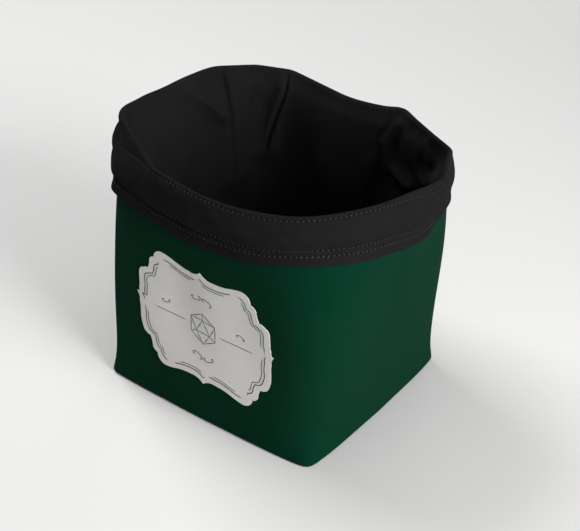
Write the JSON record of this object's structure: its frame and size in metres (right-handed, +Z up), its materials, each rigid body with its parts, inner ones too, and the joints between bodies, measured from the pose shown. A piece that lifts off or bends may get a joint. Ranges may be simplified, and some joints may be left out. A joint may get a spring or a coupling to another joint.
{
  "type": "drawstring dice bag",
  "caption": "Square-based fabric drawstring bag for dice, standing open with its lined top folded down into a stitched cuff, with a label plaque and a cord lock at the back.",
  "frame": {"origin": "centre of the base's underside, where the bag stands", "axes": "+Z up out of the mouth, -Y towards the labelled face, +Y towards the cord lock"},
  "size_m": [0.1872, 0.1915, 0.1675],
  "materials": {
    "outer_fabric": "dark green plain-weave cotton, matt",
    "lining_fabric": "black plain-weave cotton, matt",
    "interfacing": "stiff non-woven felt",
    "cuff_thread": "black sewing thread",
    "outer_thread": "green sewing thread",
    "label": "pale bonded film, matt",
    "label_ink": "black ink",
    "cord": "black braided cord",
    "lock_plastic": "black moulded plastic, fine grain",
    "spring_steel": "bright spring wire"
  },
  "bodies": {
    "bag": {"outer_wall": "outer_fabric", "outer_base": "outer_fabric", "wall_interfacing": "interfacing", "base_stiffener": "interfacing", "lining_wall": "lining_fabric", "lining_base": "lining_fabric", "channel_upper_stitching": "cuff_thread", "channel_lower_stitching": "cuff_thread", "hem_stitching": "cuff_thread", "outer_base_seam_thread": "outer_thread", "lining_base_seam_thread": "cuff_thread", "outer_back_seam_thread": "outer_thread", "lining_side_seam_thread": "cuff_thread", "label_patch": "label", "label_border_print": "label_ink", "channel_cord": "cord"},
    "cord_tails": {"cord_tails": "cord", "cord_end_knot": "cord"},
    "cord_lock": {"cord_lock_barrel": "lock_plastic", "cord_lock_spring": "spring_steel"},
    "lock_button": {"cord_lock_plunger": "lock_plastic"}
  },
  "joints": [
    {"name": "cord_pull", "type": "slide", "parent": "bag", "child": "cord_tails", "axis": [0, 0, -1], "range_m": [0, 0.015]},
    {"name": "lock_slide", "type": "slide", "parent": "cord_tails", "child": "cord_lock", "axis": [0, 0, -1], "range_m": [0, 0.045]},
    {"name": "button_press", "type": "slide", "parent": "cord_lock", "child": "lock_button", "axis": [-1, 0, 0], "range_m": [0, 0.003], "stiffness_N_per_m": 800, "springref_m": -0.002, "deforming": ["cord_lock_spring"]}
  ]
}
